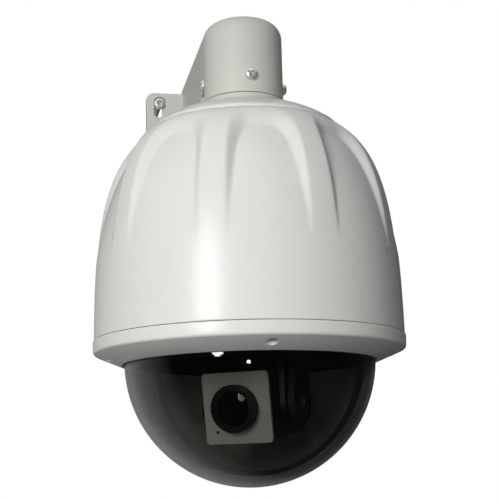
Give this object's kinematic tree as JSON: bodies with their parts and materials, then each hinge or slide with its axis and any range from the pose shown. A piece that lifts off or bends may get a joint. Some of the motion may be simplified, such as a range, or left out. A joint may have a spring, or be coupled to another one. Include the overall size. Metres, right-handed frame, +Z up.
{
  "type": "ptz dome camera",
  "caption": "Outdoor pan-tilt-zoom dome camera: petalled bell housing with smoked dome, hung on a cast wall bracket, with the camera turning and tilting inside.",
  "frame": {"origin": "centre of the wall plate's back face", "axes": "+Y out of the back of the wall plate, into the wall; +Z up; the camera hangs out towards -Y"},
  "size_m": [0.222, 0.269, 0.3409],
  "materials": {
    "bracket_paint": "powder coated cast aluminium, light warm grey",
    "housing_paint": "smooth powder coat, off-white",
    "zinc_steel": "bright plated steel",
    "seal_rubber": "moulded rubber",
    "smoked_acrylic": "smoked clear acrylic, polished",
    "black_plastic": "fine moulded texture",
    "chassis_steel": "zinc plated sheet",
    "motor_black": "black enamel",
    "bearing_steel": "ground steel",
    "pulley_plastic": "moulded acetal",
    "belt_rubber": "smooth rubber",
    "circuit_board": "solder mask",
    "brass": "turned",
    "terminal_plastic": "moulded",
    "board_parts": "moulded cases",
    "heater_aluminium": "extruded",
    "camera_case_grey": "fine moulded texture",
    "front_plate_grey": "satin moulded",
    "lens_glass": "coated optical glass"
  },
  "bodies": {
    "root": {"wall_bracket": "bracket_paint", "wall_bolts": "zinc_steel", "collar_screws": "zinc_steel", "neck_spigot": "bracket_paint", "neck_seal": "seal_rubber", "neck_screws": "zinc_steel", "cable_gland": "seal_rubber", "crown_cap": "housing_paint", "cap_screws": "zinc_steel", "upper_housing": "housing_paint", "ring_gasket": "seal_rubber", "trim_ring": "housing_paint", "ring_screws": "zinc_steel", "dome_bubble": "smoked_acrylic", "bubble_retainer": "black_plastic", "retainer_screws": "zinc_steel", "base_plate": "chassis_steel", "base_screws": "zinc_steel", "pan_bearing": "bearing_steel", "pan_motor": "motor_black", "pan_belt": "belt_rubber", "slip_ring": "black_plastic", "power_board": "circuit_board", "board_standoffs": "brass", "terminal_block": "terminal_plastic", "board_parts": "board_parts", "heater_block": "heater_aluminium", "fan_frame": "black_plastic"},
    "fan": {"fan_rotor": "black_plastic"},
    "pan_drive": {"pan_motor_pulley": "bearing_steel"},
    "pan": {"pan_shaft": "bearing_steel", "pan_pulley": "pulley_plastic", "pan_platter": "motor_black", "shield_ring": "black_plastic", "liner": "black_plastic", "yoke_left": "chassis_steel", "yoke_right": "chassis_steel", "yoke_screws": "zinc_steel", "tilt_bearings": "bearing_steel", "tilt_motor_bracket": "chassis_steel", "tilt_motor": "motor_black", "tilt_belt": "belt_rubber", "driver_board": "circuit_board"},
    "tilt_drive": {"tilt_motor_pulley": "bearing_steel"},
    "tilt": {"camera_case": "camera_case_grey", "front_plate": "front_plate_grey", "rear_cover": "camera_case_grey", "camera_screws": "zinc_steel", "trunnion_shafts": "bearing_steel", "tilt_pulley": "pulley_plastic", "lens_barrel": "black_plastic", "lens_bezel": "black_plastic", "front_lens": "lens_glass", "sensor_board": "circuit_board"},
    "zoom": {"zoom_group": "lens_glass"},
    "focus": {"focus_group": "lens_glass"}
  },
  "joints": [
    {"name": "pan", "type": "hinge", "parent": "root", "child": "pan", "pos_m": [0, -0.128, -0.169], "axis": [0, 0, 1], "continuous": true},
    {"name": "pan_drive_spin", "type": "hinge", "parent": "root", "child": "pan_drive", "pos_m": [0.05293, -0.13077, -0.169], "axis": [0, 0, 1], "continuous": true},
    {"name": "tilt", "type": "hinge", "parent": "pan", "child": "tilt", "pos_m": [0, -0.128, -0.2], "axis": [0.8192, -0.5736, 0], "range_deg": [-9, 81]},
    {"name": "tilt_drive_spin", "type": "hinge", "parent": "pan", "child": "tilt_drive", "pos_m": [0, -0.128, -0.163], "axis": [0.8192, -0.5736, 0], "range_deg": [-21.5, 189.5]},
    {"name": "zoom", "type": "slide", "parent": "tilt", "child": "zoom", "axis": [0.5665, 0.8091, 0.1564], "range_m": [0, 0.01]},
    {"name": "focus", "type": "slide", "parent": "tilt", "child": "focus", "axis": [0.5665, 0.8091, 0.1564], "range_m": [-0.001, 0.004]},
    {"name": "fan_spin", "type": "hinge", "parent": "root", "child": "fan", "pos_m": [-0.00335, -0.19191, -0.169], "axis": [0, 0, 1], "continuous": true}
  ],
  "couplings": [
    {"joint": "pan_drive_spin", "follows": "pan", "ratio": 5},
    {"joint": "tilt_drive_spin", "follows": "tilt", "ratio": 2.3333}
  ]
}
